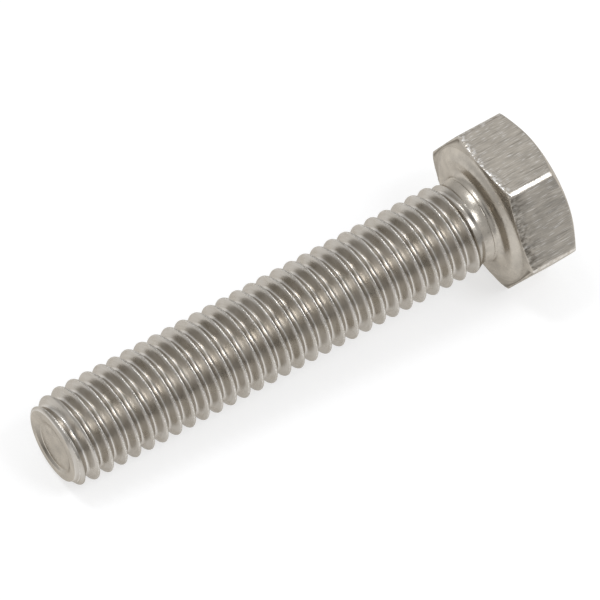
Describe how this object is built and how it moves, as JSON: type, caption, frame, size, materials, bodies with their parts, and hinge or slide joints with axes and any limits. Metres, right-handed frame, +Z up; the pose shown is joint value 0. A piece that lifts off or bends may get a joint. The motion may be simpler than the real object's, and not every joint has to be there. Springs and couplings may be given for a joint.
{
  "type": "hex head set screw",
  "caption": "Full-thread hexagon head machine screw in bare stainless steel, threaded along its whole shank, with a washer face under the head and a dished end.",
  "frame": {"origin": "under the middle of the screw, on the surface that it lies on", "axes": "+Z up; +X along the floor from the tip to the head, with the screw's own axis rising 3.4 degrees from it; +Y level, across the screw. The screw lies on one flat of its head and on a thread crest by its tip, as it comes to rest."},
  "size_m": [0.0286, 0.009, 0.0079],
  "materials": {
    "stainless_steel": "bare stainless steel, rolled bright on the thread and drawn along the flats"
  },
  "bodies": {
    "root": {"set_screw": "stainless_steel"}
  },
  "joints": []
}
